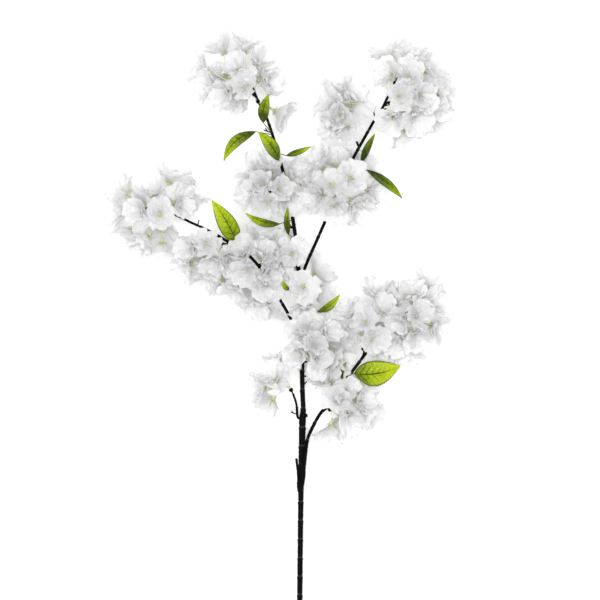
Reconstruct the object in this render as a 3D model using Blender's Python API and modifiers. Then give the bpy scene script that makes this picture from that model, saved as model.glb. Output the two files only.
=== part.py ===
"""A white cherry blossom spray, lying on a surface: taped wire stem, branches, leaves and blossoms.

Lengths are in millimetres in the spray's own frame: +Y runs up the stem from its cut end, +X is to
its right, and +Z is up from the surface that it lies on. The last step moves the origin to the
bottom centre of the whole spray.
"""

import math

import bmesh
import bpy
from mathutils import Vector
from mathutils.geometry import intersect_point_line

MM = 0.001
GAP = 0.4  # air between a piece and its neighbour

TUBE_STEP = 15  # spacing of the points along a stem
KNOT_RADIUS = 3.2  # the wrapped knot that a spray of blossoms starts from
STALK_RADIUS = 1.0
KNEE = 10  # how far a stalk leads straight out of its knot
SHORTEST_STALK = 32  # from the knot to the middle of a blossom
DOWN_FACING_HEIGHT = 13  # height of the blossoms that the spray rests on
NEAR = 60  # pieces further apart than this can't touch
STEM_END = 1  # a piece that starts this near a stem's end sits on the end itself
LEAST_REACH = 0.02  # part of its full reach that the most crowded petal keeps

PETALS = 5
CALYX_FOOT = (-20, 1.7)  # along the blossom's axis from its middle, and radius
CALYX_TOP = (-10, 3.4)
RIM = (5, 28, 22)  # along the axis, radius at a petal's middle, and radius between two petals
EYE = -2
CORE = -5

LEAF_THICKNESS = 0.7
LEAF_OUTLINE = (  # part of the blade's length, part of its half width
    (0.0, 0.06),
    (0.1, 0.5),
    (0.28, 0.93),
    (0.5, 1.0),
    (0.72, 0.74),
    (0.9, 0.33),
    (1.0, 0.03),
)
PETIOLE_WIDTH = 1.6

COLOURS = {  # linear red, green and blue, then roughness
    "bark_tape": ((0.020, 0.013, 0.010), 0.75),
    "leaf_green": ((0.20, 0.38, 0.03), 0.5),
    "petal_white": ((0.82, 0.83, 0.84), 0.7),
}

# Each stem's route: x, y, z and radius.
STEMS = {
    "main_stem": (
        (-1, 0, 3.8, 3.7), (-1, 45, 5.5, 3.6), (0, 146, 15, 3.6), (1, 226, 24, 3.8), (2, 262, 29, 4.4),
        (3, 308, 35, 4.6), (4, 322, 36, 3.3), (3, 344, 38, 3.1), (1, 436, 47, 3.0), (-4, 538, 50, 2.9),
        (-12, 603, 50, 2.2), (-24, 661, 49, 2.0), (-36, 705, 48, 1.8), (-49, 744, 50, 1.6),
        (-62, 770, 53, 1.5), (-73, 797, 57, 1.3),
    ),
    "cut_side_twig": ((-2.6, 212, 26.9, 1.4), (-3.9, 229, 28, 1.4), (-6.2, 248, 31.5, 1.4)),
    "branch_lower_right": (
        (4.2, 233, 31, 2.1), (7.4, 255, 32.8, 2.1), (9.8, 274, 35, 2.1), (13, 284, 36.5, 2.1),
        (18.5, 296, 38, 2.1), (28, 313, 40, 2.0),
        (38, 325, 42, 2.0), (54, 349, 46, 1.9), (75, 376, 50, 1.9), (96, 404, 52, 1.8),
        (112, 422, 52, 1.6), (128, 438, 52, 1.5), (140, 451, 52, 1.4), (152, 460, 53, 1.3),
        (165, 467, 55, 1.2),
    ),
    "branch_upper_right": (
        (3.6, 506, 51, 1.9), (5, 522, 52, 1.9), (11, 538, 54, 1.9), (34, 590, 55, 1.9),
        (54, 639, 54, 1.8), (75, 683, 52, 1.8), (108, 742, 53, 1.7), (118, 757, 54, 1.6),
        (130, 782, 56, 1.4), (140, 804, 58, 1.2),
    ),
    "branch_left": (
        (-4.2, 408, 46, 1.8), (-11, 445, 49, 1.8), (-33, 486, 53, 1.8), (-50, 513, 54, 1.8),
        (-63, 532, 53, 1.8), (-79, 548, 52, 1.7), (-94, 557, 52, 1.7), (-114, 570, 52, 1.6),
        (-138, 583, 52, 1.5), (-160, 593, 53, 1.4), (-181, 603, 54, 1.3), (-204, 610, 54, 1.2),
        (-225, 613, 53, 1.1),
    ),
    "twig_centre": ((-14.5, 586, 51, 1.2), (-24, 604, 53, 1.2), (-33, 618, 54, 1.1), (-41, 633, 55, 1.0)),
    "twig_upper_middle": ((84, 704, 53, 1.1), (79, 716, 55, 1.1), (73, 730, 56, 1.0), (69, 742, 56, 1.0)),
    "twig_lower_left": ((-4.2, 309, 37, 1.3), (-6, 328, 40, 1.3), (-11, 344, 44, 1.2)),
}

# Each leaf: its stem, where it leaves it, where its blade starts and ends, its width, how far it
# rolls about its midrib in degrees, how high it arches, how steeply its two halves fold up, and how
# far it bends towards its right-hand edge.
LEAVES = {
    "leaf_tip": ("main_stem", (-44, 724), (-54, 736, 70), (-46, 775, 80), 16, -12, 6, 0.4, -4),
    "leaf_arched": ("main_stem", (-43, 721), (-65, 723, 66), (-111, 681, 60), 16, 15, 9, 0.3, 11),
    "leaf_upper_left": ("main_stem", (-28, 676), (-31, 680, 82), (-60, 720, 84), 19, 12, 5, 0.3, 5),
    "leaf_upper_right": ("main_stem", (-32, 692), (-20, 688, 72), (15, 700, 82), 12, -50, 3, 0.4, -4),
    "leaf_twig": ("branch_upper_right", (71, 675), (88, 678, 66), (107, 719, 76), 13, 40, 3, 0.4, 3),
    "leaf_right_middle": (
        "branch_upper_right", (70, 672), (95, 666, 90), (146, 626, 76), 13, -25, 8, 0.3, -7,
    ),
    "leaf_left_large": ("branch_left", (-93, 557), (-90, 560, 76), (-126, 622, 96), 27, 12, 6, 0.35, 4),
    "leaf_centre": ("main_stem", (-11, 596), (-30, 589, 84), (-78, 603, 102), 13, 35, 4, 0.4, -2),
    "leaf_inner": ("main_stem", (-7, 570), (-17, 574, 74), (-18, 612, 94), 10, 30, 2, 0.4, 0),
    "leaf_small": ("main_stem", (-2, 488), (-14, 495, 84), (-27, 507, 99), 10, 20, 2, 0.3, 0),
    "leaf_throat": ("main_stem", (1, 458), (25, 463, 76), (56, 488, 88), 11, -15, 3, 0.3, 3),
    "leaf_right_large": ("branch_lower_right", (72, 373), (78, 374, 66), (143, 385, 74), 37, 10, 5, 0.2, 6),
    "leaf_bud": ("branch_lower_right", (57, 353), (61, 364, 72), (66, 391, 88), 12, 65, 2, 0.4, 0),
}

# Each cluster: its middle and its radius, then its sprays of blossoms. A spray has its stem, where it
# leaves it, and a place in plan for each blossom. A place with no height lies on the cluster's dome.
LOW = DOWN_FACING_HEIGHT
CLUSTERS = {
    "tip": ((-88, 799, 36), 60, {
        "end": ("main_stem", (-73, 799), ((-80, 844), (-58, 820), (-48, 795), (-114, 844))),
        "left": ("main_stem", (-68, 786), ((-144, 817), (-108, 778), (-90, 811), (-131, 790))),
        "low": ("main_stem", (-58, 763), ((-82, 785), (-66, 772), (-34, 751, 58))),
        "under": ("main_stem", (-65, 778), ((-115, 812, LOW), (-52, 806, LOW), (-92, 782, LOW))),
    }),
    "crown": ((156, 780, 40), 58, {
        "end": ("branch_upper_right", (141, 806), (
            (156, 828), (126, 840), (186, 813), (129, 802), (157, 800),
        )),
        "right": ("branch_upper_right", (136, 795), ((206, 775), (195, 744), (174, 770))),
        "low": ("branch_upper_right", (124, 768), ((143, 772), (166, 744), (154, 721), (134, 741))),
        "under": ("branch_upper_right", (131, 784), ((186, 790, LOW), (156, 752, LOW), (150, 820, LOW))),
    }),
    "shoulder": ((58, 752, 36), 54, {
        "top": ("twig_upper_middle", (69, 744), ((58, 746), (80, 766), (46, 762), (54, 780))),
        "low": ("twig_upper_middle", (74, 727), ((46, 731), (68, 727), (68, 768, LOW), (47, 750, LOW))),
    }),
    "middle": ((59, 642, 38), 58, {
        "front": ("branch_upper_right", (48, 626), ((50, 612), (25, 630), (78, 612), (43, 645))),
        "top": ("branch_upper_right", (62, 655), (
            (74, 655), (104, 637), (91, 674, LOW + 14), (26, 675),
        )),
        "under": ("branch_upper_right", (54, 640), (
            (82, 622, LOW), (31, 652, LOW), (72, 676, LOW), (52, 682, LOW + 16),
        )),
    }),
    "inner": ((-44, 642, 36), 56, {
        "front": ("twig_centre", (-41, 634), ((-28, 640), (-70, 664), (-55, 648), (-43, 669))),
        "right": ("main_stem", (-20, 645), ((-14, 660), (2, 650), (-19, 638, 62))),
        "low": ("twig_centre", (-30, 614), ((-68, 632), (-50, 617), (-66, 650, LOW), (-34, 660, LOW))),
    }),
    "left": ((-204, 604, 50), 46, {
        "far": ("branch_left", (-225, 613), ((-258, 640), (-262, 608), (-252, 577), (-228, 606))),
        "top": ("branch_left", (-204, 610), ((-188, 660), (-213, 634), (-172, 626))),
        "low": ("branch_left", (-190, 605), ((-225, 566), (-203, 554), (-202, 603), (-158, 634))),
        "under": ("branch_left", (-197, 607), ((-205, 580, LOW), (-237, 620, LOW), (-178, 624, LOW))),
    }),
    "arm": ((-131, 548, 36), 56, {
        "left": ("branch_left", (-138, 583), ((-156, 554), (-163, 528), (-134, 560), (-144, 542, LOW))),
        "right": ("branch_left", (-108, 567), ((-124, 538), (-136, 515), (-111, 500), (-103, 541))),
    }),
    "bend": ((-62, 523, 36), 58, {
        "top": ("branch_left", (-79, 548), ((-76, 519), (-93, 494), (-56, 568), (-80, 546))),
        "right": ("branch_left", (-60, 528), ((-36, 555), (-31, 529), (-56, 543), (-51, 518))),
        "low": ("branch_left", (-47, 509), ((-62, 476), (-47, 499), (-48, 464, 44), (-72, 498, LOW))),
    }),
    "heart": ((2, 511, 38), 54, {
        "top": ("main_stem", (-5, 552), ((-14, 547, 84), (-15, 530, LOW + 12), (-24, 560, LOW + 10))),
        "right": ("main_stem", (-2, 493), ((27, 522, 34), (9, 471), (4, 498), (30, 497, LOW + 8))),
    }),
    "throat": ((17, 415, 38), 56, {
        "top": ("main_stem", (1, 450), ((12, 443), (38, 436), (0, 427))),
        "middle": ("main_stem", (2, 420), ((22, 415), (54, 404), (60, 430), (42, 420, LOW))),
        "low": ("main_stem", (3, 392), ((0, 406), (25, 394), (46, 381), (8, 402, LOW))),
    }),
    "low_left": ((-32, 352, 46), 34, {
        "all": ("twig_lower_left", (-11, 346), ((-57, 352), (-37, 368), (-30, 392), (-47, 330, 22))),
    }),
    "low_right": ((63, 329, 46), 42, {
        "front": ("branch_lower_right", (38, 325), ((55, 338), (41, 289), (72, 313), (60, 300, LOW))),
        "back": ("branch_lower_right", (54, 349), (
            (86, 334), (63, 347), (42, 362), (96, 316), (80, 346, LOW),
        )),
    }),
    "right_low": ((104, 448, 36), 58, {
        "left": ("branch_lower_right", (96, 404), ((92, 452), (71, 463), (104, 424), (100, 440, LOW))),
        "top": ("branch_lower_right", (122, 432), ((112, 492), (138, 480), (120, 464))),
    }),
    "right_end": ((166, 454, 52), 44, {
        "low": ("branch_lower_right", (134, 444), ((141, 426), (153, 402), (168, 431), (124, 404))),
        "right": ("branch_lower_right", (150, 459), ((190, 473), (194, 440), (166, 458))),
        "top": ("branch_lower_right", (165, 468), ((160, 488), (187, 504), (144, 455))),
        "under": ("branch_lower_right", (142, 452), ((178, 470, LOW), (150, 434, LOW), (134, 474, LOW))),
    }),
}


def clear_scene():
    """Removes every object and mesh of the scene that the script starts in."""
    for obj in list(bpy.data.objects):
        bpy.data.objects.remove(obj, do_unlink=True)


def new_collection(name):
    """A collection of the scene."""
    made = bpy.data.collections.new(name)
    bpy.context.scene.collection.children.link(made)
    return made


def new_material(name):
    """A Principled material with a piece's colour and roughness."""
    colour, roughness = COLOURS[name]
    material = bpy.data.materials.new(name)
    material.use_nodes = True
    shader = material.node_tree.nodes["Principled BSDF"]
    shader.inputs["Base Color"].default_value = (*colour, 1)
    shader.inputs["Roughness"].default_value = roughness
    material.diffuse_color = (*colour, 1)
    return material


def add_object(name, data, collection, material=None):
    """An object of a mesh or a curve, in a collection."""
    made = bpy.data.objects.new(name, data)
    collection.objects.link(made)
    if material:
        data.materials.append(material)
    return made


# Stems


def smooth_route(route):
    """Points of a Catmull-Rom curve through a stem's own points, each with its radius fourth."""
    points = [Vector(point) for point in route]
    points = [2 * points[0] - points[1], *points, 2 * points[-1] - points[-2]]
    smooth = []
    for before, start, end, after in zip(points, points[1:], points[2:], points[3:]):
        steps = max(1, round((end.xyz - start.xyz).length / TUBE_STEP))
        for step in range(steps):
            t = step / steps
            pull_in = (end - before) * (t - 2 * t**2 + t**3)
            pull_out = (after - start) * (t**3 - t**2)
            on_line = start + (end - start) * (3 * t**2 - 2 * t**3)
            smooth.append(on_line + (pull_in + pull_out) / 2)
    return [*smooth, points[-2]]


ROUTES = {name: smooth_route(route) for name, route in STEMS.items()}


def make_stem(name, collection, material):
    """A tube with the stem's own radius at each point of its route."""
    curve = bpy.data.curves.new(name, "CURVE")
    curve.dimensions = "3D"
    curve.bevel_depth = MM
    curve.bevel_resolution = 2
    curve.use_fill_caps = True
    spline = curve.splines.new("POLY")
    spline.points.add(len(ROUTES[name]) - 1)
    for point, place in zip(spline.points, ROUTES[name]):
        point.co = (*(place.xyz * MM), 1)
        point.radius = place.w
    return add_object(name, curve, collection, material)


def foot_on_stem(stem, plan, towards, size):
    """Where a round piece of this size sits against a stem: its middle, and the way it leads out."""
    best = None
    for start, end in zip(ROUTES[stem], ROUTES[stem][1:]):
        across = end.xy - start.xy
        part = min(1, max(0, (Vector(plan) - start.xy).dot(across) / across.length_squared))
        place = start.lerp(end, part)
        distance = (place.xy - Vector(plan)).length
        if best is None or distance < best[0]:
            best = (distance, place, (end.xyz - start.xyz).normalized())
    _, place, along = best
    if (place - ROUTES[stem][-1]).length < STEM_END:
        return place.xyz + along * (GAP + size), along
    lead = towards - place.xyz
    lead = (lead - along * lead.dot(along)).normalized()
    return place.xyz + lead * (place.w + GAP + size), lead


# Blossoms


class Blossom:
    """One blossom on its stalk: a knot, a knee, a calyx and a bowl of petals about a middle point."""

    def __init__(self, place, cluster_middle, cluster_radius):
        x, y, *height = place
        middle = Vector(cluster_middle)
        plan = Vector((x, y, middle.z)) - middle
        dome = math.sqrt(max(0, cluster_radius**2 - plan.length_squared))
        self.middle = Vector((x, y, height[0] if height else middle.z + dome))
        self.outward = (self.middle - middle).normalized()

    def grow_from(self, knot, lead):
        """Turns the blossom away from its knot, and runs its stalk there."""
        away = self.middle - knot
        if away.length < SHORTEST_STALK:
            self.middle = knot + away.normalized() * SHORTEST_STALK
        self.axis = (self.outward + away.normalized()).normalized()
        self.core = self.middle + self.axis * CORE
        foot = self.middle + self.axis * CALYX_FOOT[0]
        reach = foot - knot
        knee = knot + (lead + reach.normalized()).normalized() * min(KNEE, reach.length / 2)
        heart = self.middle + self.axis * CALYX_TOP[0]
        self.stalk = [knot, knee, foot, heart]

    def walls(self, others, bars):
        """Planes, as a point and a normal, that keep the petals clear of everything near them."""
        found = [(Vector((0, 0, 0)), Vector((0, 0, -1)))]
        for other in others:
            away = other.core - self.core
            if other is not self and away.length < NEAR:
                found.append((self.core + away / 2 - away.normalized() * GAP / 2, away.normalized()))
        for start, end, radius, owner in bars:
            if owner is self:
                continue
            place, part = intersect_point_line(self.core, start, end)
            place = start if part < 0 else end if part > 1 else place
            away = place - self.core
            if away.length < NEAR:
                found.append((place - away.normalized() * (radius + GAP), away.normalized()))
        return found

    def rings(self, walls):
        """Rings of points from the knot to the rim, with the petals pulled inside the walls."""
        knot, knee, foot, heart = self.stalk
        up = self.axis.orthogonal().normalized()
        made = []
        way, turned = self.axis, up
        for place, ahead, behind, radius in (
            (foot, heart, knee, CALYX_FOOT[1]),
            (knee, foot, knot, STALK_RADIUS),
            (knot, knee, knot, STALK_RADIUS),
        ):
            turned = way.rotation_difference(ahead - behind) @ turned
            way = ahead - behind
            made.insert(0, ring(place, way, turned, [radius] * PETALS))
        rim = self.middle + self.axis * RIM[0]
        for points in (
            ring(heart, self.axis, up, [CALYX_TOP[1]] * PETALS),
            ring(rim, self.axis, up, RIM[1:] * PETALS),
        ):
            made.append([pull_inside(point, self.core, walls) for point in points])
        return made, pull_inside(self.middle + self.axis * EYE, self.core, walls)


def ring(centre, axis, up, radii):
    """Points around an axis, evenly spaced, each at its own radius."""
    side = axis.normalized().cross(up)
    points = []
    for step, radius in enumerate(radii):
        angle = 2 * math.pi * step / len(radii)
        points.append(centre + (up * math.cos(angle) + side * math.sin(angle)) * radius)
    return points


def pull_inside(point, core, walls):
    """The point moved towards the blossom's core until it is on the inner side of every wall."""
    reach = point - core
    part = 1
    for place, normal in walls:
        over = reach.dot(normal)
        if over > 0:
            part = min(part, max(LEAST_REACH, (place - core).dot(normal) / over))
    return core + reach * part


def loft(rings, eye):
    """A closed mesh through rings of points, from a cap to a point. A ring may have twice the last's."""
    shape = bmesh.new()
    loops = [[shape.verts.new(point * MM) for point in points] for points in rings]
    for lower, upper in zip(loops, loops[1:]):
        times = len(upper) // len(lower)
        for i in range(len(lower)):
            along = [upper[i * times - step] for step in range(times + 1)]
            shape.faces.new((lower[i - 1], lower[i], *along))
    tip = shape.verts.new(eye * MM)
    for i in range(len(loops[-1])):
        shape.faces.new((loops[-1][i - 1], loops[-1][i], tip))
    shape.faces.new(reversed(loops[0]))
    bmesh.ops.triangulate(shape, faces=shape.faces)
    bmesh.ops.recalc_face_normals(shape, faces=shape.faces)
    return to_mesh(shape)


def to_mesh(shape):
    """The mesh of a bmesh, which is then freed."""
    mesh = bpy.data.meshes.new("shape")
    shape.to_mesh(mesh)
    shape.free()
    return mesh


def make_knot(name, middle, collection, material):
    """The small round knot that a spray's stalks start in."""
    shape = bmesh.new()
    bmesh.ops.create_icosphere(shape, subdivisions=1, radius=KNOT_RADIUS * MM)
    bmesh.ops.translate(shape, verts=shape.verts, vec=middle * MM)
    return add_object(name, to_mesh(shape), collection, material)


def unite(target, tool):
    """Joins a tool's solid to the target's."""
    modifier = target.modifiers.new("union", "BOOLEAN")
    modifier.operation = "UNION"
    modifier.solver = "EXACT"
    modifier.object = tool


def lay_out_sprays():
    """Each spray's name, its knot and its blossoms, with every stalk in place."""
    sprays = []
    for cluster, (middle, radius, members) in CLUSTERS.items():
        for member, (stem, plan, places) in members.items():
            blossoms = [Blossom(place, middle, radius) for place in places]
            towards = sum((blossom.middle for blossom in blossoms), Vector()) / len(blossoms)
            knot, lead = foot_on_stem(stem, plan, towards, KNOT_RADIUS)
            for blossom in blossoms:
                blossom.grow_from(knot, lead)
            sprays.append((f"blossoms_{cluster}_{member}", knot, blossoms))
    return sprays


def bars_to_avoid(sprays, leaves):
    """Every straight run of stem, stalk and leaf: its ends, its radius and the blossom that owns it."""
    bars = []
    for route in ROUTES.values():
        for start, end in zip(route, route[1:]):
            bars.append((start.xyz, end.xyz, max(start.w, end.w), None))
    for _, _, blossoms in sprays:
        for blossom in blossoms:
            for start, end in zip(blossom.stalk, blossom.stalk[1:]):
                bars.append((start, end, CALYX_TOP[1], blossom))
    for rows in leaves.values():
        for column in zip(*rows):
            for start, end in zip(column, column[1:]):
                bars.append((start, end, LEAF_THICKNESS, None))
    return bars


def make_spray(name, knot, blossoms, everyone, bars, collections, material):
    """One spray: its blossoms joined to its knot."""
    parts, tools = collections
    spray = make_knot(name, knot, parts, material)
    for number, blossom in enumerate(blossoms, 1):
        mesh = loft(*blossom.rings(blossom.walls(everyone, bars)))
        tool = add_object(f"{name}_tool_{number}", mesh, tools)
        tool.hide_render = True
        tool.display_type = "WIRE"
        unite(spray, tool)
    return spray


# Leaves


def leaf_rows(stem, plan, start, tip, width, roll, arch, fold, sweep):
    """Rows of three points across a leaf, from its stalk's foot to its tip: left, midrib, right."""
    start, tip = Vector(start), Vector(tip)
    foot, _ = foot_on_stem(stem, plan, start, PETIOLE_WIDTH / 2)
    chord = tip - start
    side = chord.cross(Vector((0, 0, 1))).normalized()
    face = side.cross(chord).normalized()
    turn = math.radians(roll)
    side, face = (
        side * math.cos(turn) + face * math.sin(turn),
        face * math.cos(turn) - side * math.sin(turn),
    )
    stalk_side = side * PETIOLE_WIDTH / 2
    rows = [[foot - stalk_side, foot, foot + stalk_side]]
    for along, spread in LEAF_OUTLINE:
        middle = start + chord * along + (face * arch + side * sweep) * 4 * along * (1 - along)
        half = max(PETIOLE_WIDTH, width * spread) / 2
        lift = face * fold * half
        rows.append([middle - side * half + lift, middle, middle + side * half + lift])
    return rows


def make_leaf(name, rows, collection, material):
    """A thin folded blade with its stalk."""
    shape = bmesh.new()
    grid = [[shape.verts.new(point * MM) for point in row] for row in rows]
    for lower, upper in zip(grid, grid[1:]):
        for i in (1, 2):
            shape.faces.new((lower[i - 1], lower[i], upper[i], upper[i - 1]))
    bmesh.ops.triangulate(shape, faces=shape.faces)
    leaf = add_object(name, to_mesh(shape), collection, material)
    shell = leaf.modifiers.new("thickness", "SOLIDIFY")
    shell.thickness = LEAF_THICKNESS * MM
    shell.offset = 0
    return leaf


def stand_on_origin(parts, tools):
    """Parents everything to an empty that puts the bottom centre of the parts at the world's origin."""
    bpy.context.view_layer.update()
    graph = bpy.context.evaluated_depsgraph_get()
    places = []
    for part in parts:
        evaluated = part.evaluated_get(graph)
        places += [vertex.co.copy() for vertex in evaluated.to_mesh().vertices]
        evaluated.to_mesh_clear()
    low = Vector(min(place[i] for place in places) for i in range(3))
    high = Vector(max(place[i] for place in places) for i in range(3))
    origin = bpy.data.objects.new("spray_origin", None)
    bpy.context.scene.collection.objects.link(origin)
    origin.location = (-(low.x + high.x) / 2, -(low.y + high.y) / 2, -low.z)
    for piece in (*parts, *tools):
        piece.parent = origin


def main():
    clear_scene()
    parts = new_collection("cherry_blossom_spray")
    tools = new_collection("cutters")
    bark = new_material("bark_tape")
    green = new_material("leaf_green")
    white = new_material("petal_white")
    made = [make_stem(name, parts, bark) for name in STEMS]
    leaves = {name: leaf_rows(*leaf) for name, leaf in LEAVES.items()}
    made += [make_leaf(name, rows, parts, green) for name, rows in leaves.items()]
    sprays = lay_out_sprays()
    everyone = [blossom for _, _, blossoms in sprays for blossom in blossoms]
    bars = bars_to_avoid(sprays, leaves)
    for name, knot, blossoms in sprays:
        made.append(make_spray(name, knot, blossoms, everyone, bars, (parts, tools), white))
    stand_on_origin(made, tools.objects)


main()
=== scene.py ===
"""The looks of the cherry blossom spray: petals, calyces, stalks, leaves and taped stems on the CAD frame.

Every length is in metres, in the frame's own coordinates: +Z is up from the surface, and +Y runs from the
stem's cut end to its tip. Each piece of the spray is placed by what is measured on the CAD nodes.
"""

import math

import bmesh
import bpy
import numpy as np
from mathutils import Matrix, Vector


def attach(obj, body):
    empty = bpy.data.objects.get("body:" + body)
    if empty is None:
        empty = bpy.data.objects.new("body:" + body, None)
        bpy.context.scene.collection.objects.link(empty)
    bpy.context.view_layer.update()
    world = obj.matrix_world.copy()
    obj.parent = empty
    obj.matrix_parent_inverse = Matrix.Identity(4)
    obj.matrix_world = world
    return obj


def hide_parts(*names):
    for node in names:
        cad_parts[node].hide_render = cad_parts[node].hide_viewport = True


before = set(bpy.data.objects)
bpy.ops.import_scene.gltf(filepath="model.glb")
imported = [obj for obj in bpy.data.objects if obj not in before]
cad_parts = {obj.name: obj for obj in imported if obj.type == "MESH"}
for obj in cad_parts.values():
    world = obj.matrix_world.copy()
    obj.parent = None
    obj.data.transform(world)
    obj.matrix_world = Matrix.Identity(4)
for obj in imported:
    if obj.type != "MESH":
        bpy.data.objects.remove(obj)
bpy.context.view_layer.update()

MM = 0.001
SEED = 7

# Each layer's number of petals, their length and half width beside the CAD bowl's radius, how far they
# open from the axis at their base and tip (degrees), their cup, their ruffle, and their grid of points.
LAYERS = {
    "outer": dict(count=5, length=0.98, width=0.42, opening=(76, 106), cup=0.05, ruffle=1.0, grid=(13, 13)),
    "middle": dict(count=5, length=0.78, width=0.35, opening=(64, 96), cup=0.07, ruffle=1.0, grid=(12, 12)),
    "inner": dict(count=4, length=0.54, width=0.26, opening=(40, 80), cup=0.10, ruffle=1.1, grid=(9, 9)),
}
LAYER_TURN = math.pi / LAYERS["outer"]["count"]  # half of the space between two outer petals
FULL_TURN = 6.28  # radians, rounded, for a random phase

rng = np.random.default_rng(SEED)


def random_phase():
    return rng.uniform(0, FULL_TURN)


def stray(most):
    """A chance value between minus this and this."""
    return rng.uniform(-most, most)


# Meshes


TINY = 1e-12  # keeps a vector from being divided by no length
CROSSWISE = (0.3, 0.2, 0.9)  # a path is taken not to start along this


def put_in_scene(name, data):
    """A new object that holds this data."""
    made = bpy.data.objects.new(name, data)
    bpy.context.scene.collection.objects.link(made)
    return made


class Mesh:
    """Collects points, faces and per-point values, and makes one object of them."""

    def __init__(self):
        self.points, self.faces, self.flat, self.values, self.count = [], [], [], {}, 0

    def add(self, points, faces, flat=0, **values):
        """Adds points and faces, of which the last few may be flat, and values for the points."""
        points = np.asarray(points, float).reshape(-1, 3)
        self.points.append(points)
        self.flat += [False] * (len(faces) - flat) + [True] * flat
        self.faces += [tuple(index + self.count for index in face) for face in faces]
        for name, value in values.items():
            value = np.broadcast_to(np.asarray(value, float).reshape(-1), (len(points),))
            self.values.setdefault(name, []).append(value)
        self.count += len(points)

    def make(self, name, key, replaces=()):
        """One object of all that was added, in one material, for the CAD nodes that it replaces."""
        mesh = bpy.data.meshes.new(name)
        mesh.from_pydata(np.concatenate(self.points).tolist(), [], self.faces)
        for value_name, value in self.values.items():
            attribute = mesh.attributes.new(value_name, "FLOAT", "POINT")
            attribute.data.foreach_set("value", np.concatenate(value).astype(np.float32))
        mesh.polygons.foreach_set("use_smooth", np.logical_not(self.flat))
        mesh.materials.append(MATERIALS[key])
        made = put_in_scene(name, mesh)
        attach(made, "root")
        if replaces:
            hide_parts(*replaces)


def unit(vector):
    """The vector, or each row of vectors, at length one."""
    return vector / np.maximum(np.linalg.norm(vector, axis=-1, keepdims=True), TINY)


def grid_faces(rows, columns, wrap=False):
    """Quads over a grid of points in row order. With wrap, the last column joins the first."""
    faces = []
    for row in range(rows - 1):
        for column in range(columns if wrap else columns - 1):
            after = (column + 1) % columns
            here, above = row * columns, (row + 1) * columns
            faces.append((here + column, here + after, above + after, above + column))
    return np.array(faces)


def shell(points, thickness):
    """A closed sheet about a grid of points (rows, columns, 3): its points, its faces, and how many of
    the faces, at the end of them, are its rim."""
    rows, columns, _ = points.shape
    across, along = np.gradient(points, axis=1), np.gradient(points, axis=0)
    normal = unit(np.cross(across, along))
    top = (points + normal * thickness / 2).reshape(-1, 3)
    bottom = (points - normal * thickness / 2).reshape(-1, 3)
    sheet = grid_faces(rows, columns)
    under = sheet[:, ::-1] + rows * columns
    index = np.arange(rows * columns).reshape(rows, columns)
    edge = np.concatenate([index[0, :-1], index[:-1, -1], index[-1, :0:-1], index[:0:-1, 0]])
    ahead = np.roll(edge, -1)
    rim = np.stack([ahead, edge, edge + rows * columns, ahead + rows * columns], axis=1)
    return np.concatenate([top, bottom]), np.concatenate([sheet, under, rim]).tolist(), len(rim)


def twice(values):
    """A grid's values repeated for the two sides of its shell."""
    return np.concatenate([values.reshape(-1)] * 2)


def angles_round(sides):
    return np.linspace(0, 2 * math.pi, sides, endpoint=False)


def frames_along(path, up=None):
    """Two directions across a path at each of its points, turning as little as possible along it."""
    ahead = unit(np.gradient(path, axis=0))
    up = np.cross(ahead[0], CROSSWISE) if up is None else up
    ups = []
    for direction in ahead:
        up = unit(up - direction * up.dot(direction))
        ups.append(up)
    ups = np.array(ups)
    return ups, np.cross(ahead, ups)


def tube(path, radii, sides, shape=1, up=None):
    """Points and faces of a closed tube. shape is what the radii are multiplied by, for each side or for
    each row and side, of which the first side is the one that faces up."""
    ups, sides_out = frames_along(path, up)
    angles = angles_round(sides)
    reach = np.broadcast_to(np.asarray(radii, float).reshape(-1, 1) * shape, (len(path), sides))
    out = ups[:, None] * np.cos(angles)[:, None] + sides_out[:, None] * np.sin(angles)[:, None]
    points = (path[:, None] + out * reach[..., None]).reshape(-1, 3)
    faces = grid_faces(len(path), sides, wrap=True)
    low, high = len(points), len(points) + 1
    points = np.concatenate([points, path[:1], path[-1:]])
    last = (len(path) - 1) * sides
    caps = []
    for side in range(sides):
        after = (side + 1) % sides
        caps.append((after, side, low))
        caps.append((last + side, last + after, high))
    return points, faces.tolist() + caps


def distances_along(path):
    """How far along a path each of its points is."""
    return np.concatenate([[0], np.cumsum(np.linalg.norm(np.diff(path, axis=0), axis=1))])


def smooth_path(points, steps):
    """A Catmull-Rom curve through the points, with this many steps between each two."""
    points = np.asarray(points, float)
    ends = np.concatenate([[2 * points[0] - points[1]], points, [2 * points[-1] - points[-2]]])
    made = []
    for a, b, c, d in zip(ends, ends[1:], ends[2:], ends[3:]):
        for t in np.arange(steps) / steps:
            square, cube = 2 * a - 5 * b + 4 * c - d, 3 * b - a - 3 * c + d
            made.append(0.5 * (2 * b + (c - a) * t + square * t**2 + cube * t**3))
    return np.array([*made, points[-1]])


# Reading the frame


WELD_DISTANCE = 2e-6
TUBE_SIDES = 8  # of a CAD stem
SPOKES = 10  # at the middle of each CAD bowl
LEAN = 0.18  # the spread of a blossom's lean from the axis of its CAD bowl
OPENNESS = (0.86, 1.04)  # beside a fully open blossom


def welded(name):
    """A bmesh of a CAD node with its faces joined at their corners."""
    mesh = bmesh.new()
    mesh.from_mesh(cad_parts[name].data)
    bmesh.ops.remove_doubles(mesh, verts=mesh.verts, dist=WELD_DISTANCE)
    return mesh


def layers_from(start, most):
    """Rings of vertices around the starting ones, each the unseen neighbours of the last."""
    seen = set(start)
    found = [list(start)]
    while len(found) < most:
        ahead = {edge.other_vert(vert) for vert in found[-1] for edge in vert.link_edges} - seen
        if not ahead:
            break
        seen |= ahead
        found.append(sorted(ahead, key=lambda vert: vert.index))
    return found


def middle_of(verts):
    return np.mean([vert.co for vert in verts], axis=0)


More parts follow.
